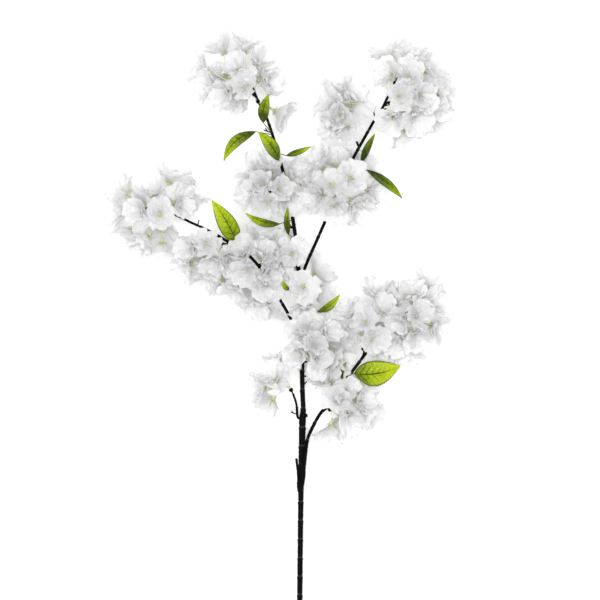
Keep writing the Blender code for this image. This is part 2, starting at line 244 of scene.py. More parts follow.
def read_stem(name):
    """The middle line of a CAD stem from its cut end, and its radius at each point."""
    mesh = welded(name)
    lowest = min(mesh.verts, key=lambda vert: vert.co.y)
    cut_end = sorted(mesh.verts, key=lambda vert: (vert.co - lowest.co).length)[:TUBE_SIDES]
    rings = layers_from(cut_end, len(mesh.verts))
    path = np.array([middle_of(ring) for ring in rings])
    radii = [np.linalg.norm(np.array(ring[0].co) - middle) for ring, middle in zip(rings, path)]
    mesh.free()
    return path, np.array(radii)


class Blossom:
    """One blossom as the CAD solid gives it: its stalk, calyx and bowl, and the room its petals have."""

    def __init__(self, rings, knot):
        eye, rim, heart, foot, knee = rings
        self.eye, self.heart, self.foot, self.knee = (middle_of(ring) for ring in (eye, heart, foot, knee))
        self.knot = knot
        self.openness = rng.uniform(*OPENNESS)
        self.axis = unit(unit(self.eye - self.foot) + rng.normal(0, LEAN, 3))
        spokes = [np.array(vert.co) - self.foot for vert in rim]
        flat = [spoke - self.axis * spoke.dot(self.axis) for spoke in spokes]
        self.up = unit(max(flat, key=np.linalg.norm))
        self.side = np.cross(self.axis, self.up)
        angles = [math.atan2(spoke.dot(self.side), spoke.dot(self.up)) % (2 * math.pi) for spoke in flat]
        order = np.argsort(angles)
        self.angles = np.array(angles)[order]
        self.reach = np.linalg.norm(np.array(flat)[order], axis=1)

    def room(self, angle, full):
        """How much of a full petal's reach there is room for at an angle about the axis."""
        share = self.reach / np.where(np.arange(len(self.reach)) % 2, full[1], full[0])
        return np.interp(angle % (2 * math.pi), self.angles, share, period=2 * math.pi)

    def out(self, angle):
        return self.up * math.cos(angle) + self.side * math.sin(angle)


def read_spray(name):
    """The middle of a spray's knot and its blossoms."""
    mesh = welded(name)
    found, used = [], set()
    for vert in mesh.verts:
        rings = layers_from([vert], 5)
        if [len(ring) for ring in rings[:4]] == [1, SPOKES, SPOKES // 2, SPOKES // 2]:
            found.append(rings)
            used.update(vert for ring in rings for vert in ring)
    knot = middle_of([vert for vert in mesh.verts if vert not in used])
    blossoms = [Blossom(rings, knot) for rings in found]
    mesh.free()
    return knot, blossoms


NODES = sorted(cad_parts)
STEMS = {name: read_stem(name) for name in NODES if not name.startswith(("blossoms", "leaf"))}
SPRAYS = {name: read_spray(name) for name in NODES if name.startswith("blossoms")}
EVERY_BLOSSOM = [blossom for _, blossoms in SPRAYS.values() for blossom in blossoms]
# The longest spokes of any CAD bowl: every second one from its longest, and those between them.
FULL = [max(blossom.reach[start::2].max() for blossom in EVERY_BLOSSOM) for start in (0, 1)]


# Materials


WHITE, BLACK = (1, 1, 1), (0, 0, 0)
PETAL_SHARE, LEAF_SHARE = 0.5, 0.25  # how much of the surface is a Translucent shader
VEIN_COLOUR = (0.035, 0.045, 0.006, 1)
EDGE_COLOUR = (0.045, 0.065, 0.006, 1)


def grey(level):
    return (level,) * 3


def new_material(name, roughness, **sockets):
    """A Principled material, its node tree and its shader."""
    material = bpy.data.materials.new(name)
    material.use_nodes = True
    tree = material.node_tree
    shader = tree.nodes["Principled BSDF"]
    shader.inputs["Roughness"].default_value = roughness
    for socket, value in sockets.items():
        shader.inputs[socket.replace("_", " ")].default_value = value
    return material, tree, shader


def node(tree, kind, inputs=(), **settings):
    """A shader node with its settings made and its inputs set or linked."""
    made = tree.nodes.new(kind)
    for key, value in settings.items():
        setattr(made, key, value)
    for key, value in dict(inputs).items():
        if isinstance(value, bpy.types.NodeSocket):
            tree.links.new(value, made.inputs[key])
        else:
            made.inputs[key].default_value = value
    return made


def ramp(tree, factor, *stops):
    """A colour ramp over (position, colour) stops."""
    made = node(tree, "ShaderNodeValToRGB", {"Fac": factor})
    elements = made.color_ramp.elements
    while len(elements) < len(stops):
        elements.new(0.5)
    for element, (position, colour) in zip(elements, stops):
        element.position = position
        element.color = (*colour, 1)
    return made.outputs["Color"]


def noise(tree, scale, detail, vector=None, roughness=0.5):
    """A noise value, on object coordinates unless a vector is given."""
    vector = vector or node(tree, "ShaderNodeTexCoord").outputs["Object"]
    inputs = {"Vector": vector, "Scale": scale, "Detail": detail, "Roughness": roughness}
    return node(tree, "ShaderNodeTexNoise", inputs).outputs["Fac"]


def attribute(tree, name):
    return node(tree, "ShaderNodeAttribute", attribute_name=name).outputs["Fac"]


def math_node(tree, operation, *values):
    return node(tree, "ShaderNodeMath", dict(enumerate(values)), operation=operation).outputs[0]


def mix(tree, factor, first, second, blend="MIX"):
    """Two colours mixed. A Mix node's colours are its inputs 6 and 7 and its output 2."""
    inputs = {0: factor, 6: first, 7: second}
    return node(tree, "ShaderNodeMix", inputs, data_type="RGBA", blend_type=blend).outputs[2]


def bump(tree, shader, height, distance, strength):
    inputs = {"Height": height, "Distance": distance, "Strength": strength}
    tree.links.new(node(tree, "ShaderNodeBump", inputs).outputs["Normal"], shader.inputs["Normal"])


def see_through(tree, shader, colour, share):
    """Lets some of the light through a thin piece, by mixing in a Translucent shader."""
    behind = node(tree, "ShaderNodeBsdfTranslucent", {"Color": colour})
    inputs = {0: share, 1: shader.outputs["BSDF"], 2: behind.outputs["BSDF"]}
    both = node(tree, "ShaderNodeMixShader", inputs)
    tree.links.new(both.outputs[0], tree.nodes["Material Output"].inputs["Surface"])


def petal_material(name, white, base):
    """Thin crumpled cloth: white, yellow-green where it meets the calyx, with fine fibres along it."""
    material, tree, shader = new_material(name, 0.62, Sheen_Weight=0.15)
    along = attribute(tree, "along")
    across = attribute(tree, "across")
    slower = math_node(tree, "MULTIPLY", along, 0.18)
    stretched = node(tree, "ShaderNodeCombineXYZ", {0: across, 1: slower})
    fibres = noise(tree, 16, 3, stretched.outputs[0])
    tint = ramp(tree, along, (0.0, base), (0.12, base), (0.34, white), (1.0, white))
    patches = noise(tree, 60, 3)
    shade = ramp(tree, patches, (0.3, grey(0.965)), (0.7, WHITE))
    lines = ramp(tree, fibres, (0.36, grey(0.955)), (0.56, WHITE))
    colour = mix(tree, 1.0, mix(tree, 1.0, tint, shade, "MULTIPLY"), lines, "MULTIPLY")
    tree.links.new(colour, shader.inputs["Base Color"])
    creases = noise(tree, 260, 3)
    height = math_node(tree, "ADD", math_node(tree, "MULTIPLY", fibres, 0.8), creases)
    bump(tree, shader, height, 0.5 * MM, 0.6)
    see_through(tree, shader, colour, PETAL_SHARE)
    return material


def plant_material(name, light, dark, scale, roughness=0.5, share=0.0):
    """A moulded soft green piece with two tones."""
    material, tree, shader = new_material(name, roughness)
    colour = ramp(tree, noise(tree, scale, 4), (0.32, dark), (0.66, light))
    tree.links.new(colour, shader.inputs["Base Color"])
    bump(tree, shader, noise(tree, scale * 4, 2), 0.2 * MM, 0.6)
    if share:
        see_through(tree, shader, colour, share)
    return material


def bark_material(name, light, dark):
    """Wrapped tape and moulded bark: near black, with streaks, rings, and whitish specks that are partly
    the tape's own and partly painted glints, and a dull gloss.
    """
    material, tree, shader = new_material(name, 0.55, Specular_IOR_Level=0.04)
    along, around = attribute(tree, "along"), attribute(tree, "around")
    faster = math_node(tree, "MULTIPLY", along, 60)
    vector = node(tree, "ShaderNodeCombineXYZ", {0: around, 1: faster})
    streaks = noise(tree, 5, 5, vector.outputs[0], 0.7)
    speck_and_glint_noise = noise(tree, 900, 2)
    colour = ramp(tree, streaks, (0.3, dark), (0.58, light), (0.8, dark))
    # Whitish specks added to the bark colour: partly the tape's own specks, partly painted glints.
    specks_and_painted_glints = ramp(tree, speck_and_glint_noise, (0.62, BLACK), (0.74, (0.016, 0.015, 0.014)))
    rings = ramp(tree, attribute(tree, "ring"), (0.4, BLACK), (0.95, (0.026, 0.025, 0.024)))
    rings_specks_and_glints = mix(tree, 1.0, specks_and_painted_glints, rings, "ADD")
    tree.links.new(mix(tree, 1.0, colour, rings_specks_and_glints, "ADD"), shader.inputs["Base Color"])
    rough = ramp(tree, streaks, (0.3, grey(0.42)), (0.7, grey(0.72)))
    tree.links.new(rough, shader.inputs["Roughness"])
    height = math_node(tree, "ADD", streaks, math_node(tree, "MULTIPLY", speck_and_glint_noise, 0.5))
    bump(tree, shader, height, 0.5 * MM, 0.9)
    return material


def vein_lines(tree, along, beside, slant):
    """Thin lines on a leaf: its midrib, and side veins that fade towards the leaf's tip and edge."""
    saw = math_node(tree, "ABSOLUTE", math_node(tree, "SUBTRACT", math_node(tree, "FRACT", slant), 0.5))
    side = ramp(tree, saw, (0.37, BLACK), (0.47, WHITE))
    outward = math_node(tree, "MULTIPLY_ADD", beside, 0.5, along)
    fading = ramp(tree, outward, (0.35, WHITE), (0.9, grey(0.15)))
    midrib = ramp(tree, beside, (0.035, WHITE), (0.085, BLACK))
    thinning = ramp(tree, along, (0.5, WHITE), (0.9, grey(0.35)))
    side_lines = math_node(tree, "MULTIPLY", side, fading)
    return math_node(tree, "MAXIMUM", side_lines, math_node(tree, "MULTIPLY", midrib, thinning))


def leaf_material():
    """Printed leaf cloth: mottled yellow-green, dark towards its base and along its edge and veins."""
    material, tree, shader = new_material("leaf_cloth", 0.5, Specular_IOR_Level=0.2)
    along, across, slant, dark = (attribute(tree, key) for key in ("along", "across", "slant", "dark"))
    beside = math_node(tree, "ABSOLUTE", across)
    blotch = noise(tree, 100, 4, roughness=0.65)
    growth = math_node(tree, "MULTIPLY_ADD", blotch, 0.75, math_node(tree, "MULTIPLY", along, 0.8))
    growth = math_node(tree, "SUBTRACT", growth, math_node(tree, "MULTIPLY", dark, 0.7))
    stops = ((0.12, (0.046, 0.078, 0.005)), (0.38, (0.17, 0.25, 0.006)), (0.72, (0.46, 0.61, 0.009)))
    colour = ramp(tree, growth, *stops, (1.0, (0.62, 0.74, 0.012)))
    mottle = ramp(tree, noise(tree, 480, 3), (0.36, grey(0.66)), (0.58, WHITE))
    coordinates = node(tree, "ShaderNodeTexCoord").outputs["Object"]
    inputs = {"Vector": coordinates, "Scale": 420}
    voronoi = node(tree, "ShaderNodeTexVoronoi", inputs, feature="DISTANCE_TO_EDGE")
    cells = voronoi.outputs["Distance"]
    net = ramp(tree, cells, (0.0, grey(0.72)), (0.13, WHITE))
    colour = mix(tree, 1.0, mix(tree, 1.0, colour, mottle, "MULTIPLY"), net, "MULTIPLY")
    lines = vein_lines(tree, along, beside, slant)
    frayed = math_node(tree, "MULTIPLY_ADD", blotch, 0.16, beside)
    edge = ramp(tree, frayed, (0.92, BLACK), (1.0, grey(0.85)))
    colour = mix(tree, edge, colour, EDGE_COLOUR)
    colour = mix(tree, math_node(tree, "MULTIPLY", lines, 0.9), colour, VEIN_COLOUR)
    tree.links.new(colour, shader.inputs["Base Color"])
    height = math_node(tree, "SUBTRACT", math_node(tree, "ADD", noise(tree, 500, 3), cells), lines)
    bump(tree, shader, height, 0.3 * MM, 0.8)
    see_through(tree, shader, colour, LEAF_SHARE)
    return material


MATERIALS = {
    "outer": petal_material("petal_cloth_outer", (0.935, 0.935, 0.94), (0.89, 0.90, 0.79)),
    "middle": petal_material("petal_cloth_middle", (0.935, 0.935, 0.94), (0.89, 0.90, 0.77)),
    "inner": petal_material("petal_cloth_inner", (0.94, 0.94, 0.94), (0.87, 0.89, 0.70)),
    "calyx": plant_material("calyx_plastic", (0.78, 0.80, 0.60), (0.66, 0.70, 0.44), 400, 0.45, 0.4),
    "centre": plant_material("centre_plastic", (0.66, 0.66, 0.42), (0.46, 0.47, 0.26), 700, 0.5, 0.3),
    "stalk": plant_material("stalk_wire", (0.78, 0.80, 0.68), (0.62, 0.66, 0.48), 300),
    "rib": plant_material("leaf_rib", (0.16, 0.22, 0.03), (0.05, 0.08, 0.01), 200),
    "bark": bark_material("bark_tape", (0.0042, 0.0040, 0.0038), (0.0012, 0.0011, 0.0011)),
    "leaf": leaf_material(),
}
SLOTS = {**dict.fromkeys(LAYERS, "petal_white"), "bark": "bark_tape"}  # names for the petal layers and the bark


# Petals


PETAL_STRAY = 0.3  # radians off its place in its layer, either way
PETAL_SIZE = (0.84, 1.06)  # beside its layer's
PETAL_OPENING = (0.92, 1.08)  # beside its blossom's
PAST_ROOM = 1.12  # a petal's reach beside the room that the CAD bowl has there
PROFILE_STATIONS = 33
EARLY_OPENING = 0.8  # a power: below 1, a petal turns outwards most near its base
LEAST_OPEN, CLOSING_STEP = 0.25, 0.03  # least share of its angles, and one step down
NOTCH_DEPTH, NOTCH_WIDTH = (0.02, 0.12), 0.2  # in the tip, beside the length and the half width
ROUNDING = 0.17  # how far the tip's corners fall back, beside the length
RIM_WAVE, RIM_WAVES = 0.035, (6, 10)  # beside the length, and radians from the middle to an edge
FOOT_WIDTH, WIDEST_AT = 0.14, 0.68  # beside the half width, and beside the length
TIP_TAPER, TAPER_START, TAPER_SPAN = 0.10, 0.7, 0.3  # beside the half width, and along the petal
EDGE_WAVE, EDGE_WAVES = 0.08, (7, 12)  # beside the half width, and radians from base to tip
SIDE_BEND = 0.12  # beside the half width
TWIST, TWIST_SPREAD = 0.10, 0.22  # at a corner of the tip, beside the half width
CUP_START, CUP_WAVE = 0.05, 0.62  # beside the length, and in half waves from base to tip
FOOT_CRUMPLE = 0.15  # beside the tip's
FOLDS = ((1.2, 0.024), (2.3, 0.020), (4.0, 0.014))  # how close, and how high beside the bowl's radius
FOLD_LEAN, FOLD_SLOPE, FINE_SLANT, RIPPLE_SLANT = 1.2, (0.4, 1.6), 5, 3  # how the waves slant
RUFFLE_START, RUFFLE_SPAN = 0.45, 0.55  # along the petal
RUFFLE, FINE_RUFFLE, RIPPLE = 0.040, 0.020, 0.010  # beside the bowl's radius
RUFFLE_WAVES, FINE_WAVES, RIPPLE_WAVES = (4, 8), (14, 22), (9, 13)  # radians, across, along, across
FLOOR_CLEARANCE, FLOOR_SPREAD = 0.15 * MM, 0.4 * MM  # a petal's least height, and chance's part


def petal_profile(opening, length, reach_share):
    """Distance out and up along a petal's middle, opening less where there is less room."""
    t = np.linspace(0, 1, PROFILE_STATIONS)
    angle = np.radians(opening[0] + (opening[1] - opening[0]) * t**EARLY_OPENING)
    widest = np.sin(angle).mean()
    closing = 1.0
    while closing > LEAST_OPEN and np.sin(angle * closing).mean() > widest * reach_share:
        closing -= CLOSING_STEP
    angle = angle * closing
    step = np.diff(t, prepend=0)
    return t, np.cumsum(np.sin(angle) * step) * length, np.cumsum(np.cos(angle) * step) * length, angle


def petal_outline(along, across, width):
    """How far along its length and how far sideways each point of a petal lies."""
    notch = rng.uniform(*NOTCH_DEPTH) * np.exp(-((across / NOTCH_WIDTH) ** 2)) * along**6
    reach = along - ROUNDING * np.abs(across) ** 3 * along**3 - notch
    reach = reach - RIM_WAVE * np.sin(across * rng.uniform(*RIM_WAVES) + random_phase()) * along**5
    swell = np.sin(np.pi / 2 * np.minimum(1, along / WIDEST_AT)) ** 1.3
    spread = FOOT_WIDTH + (1 - FOOT_WIDTH) * swell
    spread = spread * (1 - TIP_TAPER * np.clip((along - TAPER_START) / TAPER_SPAN, 0, 1) ** 2)
    wave = 1 + EDGE_WAVE * np.sin(along * rng.uniform(*EDGE_WAVES) + random_phase())
    sideways = across * spread * width * wave
    return reach, sideways + stray(SIDE_BEND) * width * along**2


def petal_lift(layer, along, across, width):
    """How far each point of a petal stands up from its middle line: cup, twist and crumples."""
    rise = np.sin(np.pi * np.clip(along, CUP_START, 1) * CUP_WAVE)
    lift = layer["cup"] * width * across**2 * rise
    lift = lift + (TWIST + stray(TWIST_SPREAD)) * width * across * along
    growing = FOOT_CRUMPLE + (1 - FOOT_CRUMPLE) * along
    return lift + crumple(along, across) * layer["ruffle"] * FULL[0] * growing


def petal_points(layer, blossom, angle, size):
    """A petal's grid of points about its blossom, with where each lies along and across the petal."""
    rows, columns = layer["grid"]
    along, across = np.meshgrid(np.linspace(0, 1, rows), np.linspace(-1, 1, columns), indexing="ij")
    length = layer["length"] * FULL[0] * size
    width = layer["width"] * FULL[0] * size
    share = min(1.0, blossom.room(angle, FULL) * PAST_ROOM)
    opening = np.array(layer["opening"]) * blossom.openness * rng.uniform(*PETAL_OPENING)
    t, out, up, tilt = petal_profile(opening, length, share)
    reach, sideways = petal_outline(along, across, width)
    lift = petal_lift(layer, along, across, width)

    out_at, up_at, tilt_at = (np.interp(reach, t, values) for values in (out, up, tilt))
    out_way, side_way = blossom.out(angle), blossom.out(angle + math.pi / 2)
    radial = out_at - lift * np.cos(tilt_at)
    height = up_at + lift * np.sin(tilt_at)
    points = blossom.heart + out_way * radial[..., None] + side_way * sideways[..., None]
    points = points + blossom.axis * height[..., None]
    points[..., 2] = np.minimum(points[..., 2], ceiling(points))
    points[..., 2] = np.maximum(points[..., 2], FLOOR_CLEARANCE + FLOOR_SPREAD * rng.random())
    return points, along, across


def ceiling(points):
    """How high a petal may reach at each of its points, so that it tucks under a leaf that lies over it."""
    apart = np.linalg.norm(points[..., None, :2] - COVER[:, :2], axis=-1)
    above = points[..., None, 2] - COVER[:, 2]
    under = (apart < COVER[:, 3] + LEAF_MARGIN) & (above < TUCK_DEPTH)
    return np.where(under, COVER[:, 2] - LEAF_MARGIN, np.inf).min(axis=-1)


def crumple(along, across):
    """Folds over a petal, beside the CAD bowl's radius: broad waves, and a finer ruffle at its rim."""
    total = np.zeros_like(along)
    for wave, size in FOLDS:
        phase, lean, slope = random_phase(), stray(FOLD_LEAN), rng.uniform(*FOLD_SLOPE)
        total += size * np.sin(wave * (across * 2 * slope + along * lean * 2) + phase)
    rim = np.clip((along - RUFFLE_START) / RUFFLE_SPAN, 0, 1) ** 1.4
    total += RUFFLE * rim * np.sin(across * rng.uniform(*RUFFLE_WAVES) + random_phase())
    waves = along * rng.uniform(*FINE_WAVES) + across * FINE_SLANT
    total += FINE_RUFFLE * rim * np.sin(waves + random_phase())
    waves = across * rng.uniform(*RIPPLE_WAVES) + along * stray(RIPPLE_SLANT)
    total += RIPPLE * np.sin(waves + random_phase())
    return total


def add_petals(mesh, layer, blossom, turn):
    """A layer of petals, each a single surface of thin cloth."""
    for number in range(layer["count"]):
        angle = turn + 2 * math.pi * number / layer["count"] + stray(PETAL_STRAY)
        points, along, across = petal_points(layer, blossom, angle, rng.uniform(*PETAL_SIZE))
        mesh.add(points, grid_faces(*layer["grid"]).tolist(), along=along, across=across)


# Small parts of a blossom, and sprays


CALYX_PROFILE = ((0.0, 0.95), (0.25, 1.5), (0.55, 2.1), (0.85, 2.9), (1.0, 3.3))  # part, radius in mm
CALYX_SIDES = 10
SEPALS = 5
SEPAL_STRAY = 0.1  # radians
SEPAL_STATIONS = 6
SEPAL_LENGTH = (5, 6.5)  # mm
SEPAL_START = 2.6 * MM  # from the blossom's axis
SEPAL_RISE, SEPAL_DIP = (0.15, 0.5), 0.1  # beside its length
SEPAL_HALF, SEPAL_TIP = 1.6, 0.15  # half widths, mm
SEPAL_POINT = 0.7  # a power: below 1, its sides bulge
SEPAL_KEEL = 0.5  # how far its middle sinks, mm
SEPAL_SHEET = 0.5 * MM

BOSS_START = 2.0  # mm above the petals' base
BOSS_PROFILE = ((0.0, 3.4), (1.6, 3.4), (3.0, 2.5), (3.8, 0.9))  # height and radius, mm
BOSS_SIDES, BOSS_LOBES, LOBE_DEPTH = 15, 5, 0.22
STAMENS = 13
STAMEN_STRAY = 0.3  # radians
STAMEN_LENGTH = (5.0, 8.5)  # mm
STAMEN_SPREAD = (0.4, 1.5)  # outwards, for each part that it rises
STAMEN_START, STAMEN_BEND = 1.2, 0.9  # from the axis, and outwards at the tip, mm
STAMEN_PROFILE = ((0.0, 0.34), (0.5, 0.28), (0.84, 0.26), (0.9, 0.75), (0.97, 0.4))  # part, radius in mm
STAMEN_SIDES = 5

STALK_RADII = (0.8, 0.62)  # at the knot and inside the calyx, mm
STALK_SIDES, STALK_STEPS = 6, 5
STALK_INSIDE = 0.4  # the part of the calyx that a stalk runs up into

KNOT_ROWS, KNOT_SIDES = 9, 12
KNOT_AXIS = (0.25, 0.9, 0.35)
KNOT_HALF_LENGTH, KNOT_RADIUS = 3.4, 3.1  # mm
KNOT_END = 0.04  # the least square of its radius, beside its middle's
KNOT_WAVE, KNOT_WINDING = 0.10, 9  # beside the radius, and radians from its middle to an end
KNOT_ROUGHNESS = (0.94, 1.06)
SPUR_RADIUS, SPUR_SIDES, SPUR_STEPS = 1.1 * MM, 7, 4

# The name of each sort of piece in a spray, by its material.
SPRAY_PIECES = {
    **{layer: f"petals_{layer}" for layer in LAYERS},
    "calyx": "calyces",
    "centre": "centres",
    "stalk": "stalks",
    "bark": "knot",
}


def add_calyx(mesh, blossom):
    """The cup under the petals, with five pointed sepals spread against them."""
    span = blossom.heart - blossom.foot
    path = np.array([blossom.foot + span * part for part, _ in CALYX_PROFILE])
    mesh.add(*tube(path, [radius * MM for _, radius in CALYX_PROFILE], CALYX_SIDES))
    for number in range(SEPALS):
        angle = 2 * math.pi * (number + 0.5) / SEPALS + stray(SEPAL_STRAY)
        add_sepal(mesh, blossom, angle)


def add_sepal(mesh, blossom, angle):
    """A pointed sepal with a sunk middle."""
    t = np.linspace(0, 1, SEPAL_STATIONS)
    long = rng.uniform(*SEPAL_LENGTH) * MM
    rise = rng.uniform(*SEPAL_RISE)
    middle = blossom.heart + blossom.out(angle) * (SEPAL_START + t * long)[:, None]
    middle = middle + blossom.axis * ((rise * t**2 - SEPAL_DIP * t) * long)[:, None]
    half = (SEPAL_HALF * (1 - t) ** SEPAL_POINT + SEPAL_TIP) * MM
    side = blossom.out(angle + math.pi / 2)
    points = middle[:, None] + side * (half[:, None] * np.array([-1, 0, 1]))[..., None]
    points[:, 1] -= blossom.axis * SEPAL_KEEL * MM
    mesh.add(*shell(points, SEPAL_SHEET))


def add_centre(mesh, blossom):
    """The moulded centre: a lobed boss with short filaments and their tips."""
    base = blossom.heart + blossom.axis * BOSS_START * MM
    heights, radii = np.array(BOSS_PROFILE).T * MM
    path = base + blossom.axis * heights[:, None]
    lobes = 1 + LOBE_DEPTH * np.cos(BOSS_LOBES * angles_round(BOSS_SIDES))
    mesh.add(*tube(path, radii, BOSS_SIDES, lobes))
    for number in range(STAMENS):
        angle = 2 * math.pi * number / STAMENS + stray(STAMEN_STRAY)
        add_stamen(mesh, blossom, base, angle)


def add_stamen(mesh, blossom, base, angle):
    """A filament that bends outwards, with a thicker tip."""
    long = rng.uniform(*STAMEN_LENGTH) * MM
    way = unit(blossom.axis + blossom.out(angle) * rng.uniform(*STAMEN_SPREAD))
    start = base + blossom.out(angle) * STAMEN_START * MM
    bend = blossom.out(angle) * STAMEN_BEND * MM
    along, radii = np.array(STAMEN_PROFILE).T
    path = start + way * (along * long)[:, None] + bend * (along**2)[:, None]
    mesh.add(*tube(path, radii * MM, STAMEN_SIDES))


def add_stalk(mesh, blossom):
    """The wire stalk from the knot to the calyx, on a smooth curve."""
    end = blossom.foot * (1 - STALK_INSIDE) + blossom.heart * STALK_INSIDE
    path = smooth_path([blossom.knot, blossom.knee, blossom.foot, end], STALK_STEPS)
    mesh.add(*tube(path, np.linspace(*STALK_RADII, len(path)) * MM, STALK_SIDES))


def add_knot(mesh, knot):
    """A lump of wound tape where a spray's stalks leave the stem, and the short spur that joins them."""
    height = np.linspace(-1, 1, KNOT_ROWS)
    path = knot + np.array(KNOT_AXIS) * (height * KNOT_HALF_LENGTH * MM)[:, None]
    around = angles_round(KNOT_SIDES)
    wound = 1 + KNOT_WAVE * np.sin(around[None] + height[:, None] * KNOT_WINDING + random_phase())
    wound = wound * rng.uniform(*KNOT_ROUGHNESS, (KNOT_ROWS, KNOT_SIDES))
    radii = np.sqrt(np.maximum(KNOT_END, 1 - height**2)) * KNOT_RADIUS * MM
    add_taped(mesh, path, radii, KNOT_SIDES, wound)
    stem, number = nearest_stem(knot)
    path, _ = STEMS[stem]
    spur = smooth_path([path[max(number - 1, 0)], (path[number] + knot) / 2, knot], SPUR_STEPS)
    add_taped(mesh, spur, np.full(len(spur), SPUR_RADIUS), SPUR_SIDES)


def add_taped(mesh, path, radii, sides, shape=1, up=None, rings=0):
    """A tube with the values that the bark material reads: where each point is along and around it, and
    whether it is on one of the stem's rings."""
    points, faces = tube(path, radii, sides, shape, up)
    at = distances_along(path) + rng.uniform(0, 1)
    around = 2 * np.sin(angles_round(sides))
    along = np.append(np.repeat(at, sides), [at[0], at[-1]])
    ring = np.append(np.repeat(np.broadcast_to(rings, len(at)), sides), [0, 0])
    mesh.add(points, faces, along=along, around=np.append(np.tile(around, len(at)), [0, 0]), ring=ring)


def nearest_stem(place, besides=""):
    """The stem that is nearest to a place, besides one of them, and the number of its nearest point."""
    others = {name: path for name, (path, _) in STEMS.items() if name != besides}
    return min(
        ((name, number) for name, path in others.items() for number in range(len(path))),
        key=lambda found: np.linalg.norm(others[found[0]][found[1]] - place),
    )


def make_sprays():
    """Each spray of blossoms as its petals by layer, calyces, centres, stalks and knot."""
    for name, (knot, blossoms) in SPRAYS.items():
        parts = {key: Mesh() for key in SPRAY_PIECES}
        for blossom in blossoms:
            turn = rng.uniform(0, 2 * math.pi)
            for number, (key, layer) in enumerate(LAYERS.items()):
                add_petals(parts[key], layer, blossom, turn + number * LAYER_TURN)
            add_calyx(parts["calyx"], blossom)
            add_centre(parts["centre"], blossom)
            add_stalk(parts["stalk"], blossom)
        add_knot(parts["bark"], knot)
        for key, mesh in parts.items():
            piece = f"{SPRAY_PIECES[key]}_{name.removeprefix('blossoms_')}"
            mesh.make(piece, key, (name,) if key == "outer" else ())


# Stems


STEM_SIDES = 14
STEM_STEP = 1.4 * MM
CURVE_STEPS = 10  # between two rings of a CAD stem
FEWEST_RINGS = 8
TAPE_PITCH = 6.5 * MM
TAPE_PROUD = 0.5 * MM  # past the CAD stem
TAPE_RIDGE = (0.08, 0.25)  # its height beside the stem's radius, and its width beside the pitch
TAPE_ROUGHNESS = 0.025
NODE_PITCH = 28 * MM
RING_WIDTH = 1.2 * MM
NOTCH_AWAY = 2.5  # from its node, beside the ring's width
NODE_SWELL, NODE_NOTCH = 0.13, 0.10  # beside the stem's radius
BETWEEN_NODES = 0.97
CUT_EDGE = 0.8  # the radius at a cut end's face, beside the stem's
CUT_ROUNDING = 0.8 * MM  # in which it would grow by the whole radius
ROOT_RADII = (1.6, 1.2)  # beside the side stem's own
ROOT_SIDES, ROOT_STEPS = 9, 5
COLLAR_SIDES = 18
COLLAR_PROUD = 0.1 * MM  # past the main stem's own tape
COLLAR_RIDGE = (0.06, 0.3)
BETWEEN_RIDGES = 0.98
COLLARS = {  # before and past the side stem's foot, mm
    "branch_lower_right": (26, 8),
    "cut_side_twig": (16, 3),
}


def resampled(name):
    """A stem as a smooth curve with rings STEM_STEP apart: its path, radii and distance along."""
    fine = smooth_path(np.column_stack(STEMS[name]), CURVE_STEPS)
    length = distances_along(fine[:, :3])
    at = np.linspace(0, length[-1], max(FEWEST_RINGS, round(length[-1] / STEM_STEP)))
    columns = [np.interp(at, length, fine[:, i]) for i in range(4)]
    return np.column_stack(columns[:3]), columns[3], at


def tape_ridge(at, angles, height, width):
    """How high the tape's edge stands, at each distance along a stem and angle round it."""
    wind = (at[:, None] / TAPE_PITCH + angles / (2 * math.pi)) % 1
    return height * np.clip(1 - wind / width, 0, 1)


def make_stem(name):
    """A stem wound with tape: slanting ridges, swollen nodes, and a rounded end."""
    path, radii, at = resampled(name)
    ridge = tape_ridge(at, angles_round(STEM_SIDES), *TAPE_RIDGE)
    phase = at % NODE_PITCH - NODE_PITCH / 2
    rings = np.exp(-(phase**2) / (2 * RING_WIDTH**2))
    notches = np.exp(-((phase - NOTCH_AWAY * RING_WIDTH) ** 2) / (2 * RING_WIDTH**2))
    swell = NODE_SWELL * rings - NODE_NOTCH * notches
    rough = rng.uniform(-TAPE_ROUGHNESS, TAPE_ROUGHNESS, (len(at), STEM_SIDES))
    shape = BETWEEN_NODES + ridge + swell[:, None] + rough
    end = np.minimum(1, (at[-1] - at) / CUT_ROUNDING + CUT_EDGE)
    mesh = Mesh()
    add_taped(mesh, path, (radii + TAPE_PROUD) * end, STEM_SIDES, shape, rings=notches)
    mesh.make(f"taped_{name}", "bark", (name,))


def make_roots():
    """The tape that holds the foot of each side stem and twig against the stem that it leaves."""
    mesh = Mesh()
    for name, (path, radii) in STEMS.items():
        if name != "main_stem":
            parent, number = nearest_stem(path[0], besides=name)
            points = smooth_path([STEMS[parent][0][number], path[0], path[1]], ROOT_STEPS)
            add_taped(mesh, points, np.linspace(*ROOT_RADII, len(points)) * radii[0], ROOT_SIDES)
    mesh.make("roots", "bark")


def make_collars():
    """Tape wound round the main stem and the foot of each side stem that leaves it."""
    mesh = Mesh()
    for name, length in COLLARS.items():
        before, after = (round(part * MM / STEM_STEP) for part in length)
        add_collar(mesh, name, before, after)
    mesh.make("collars", "bark")


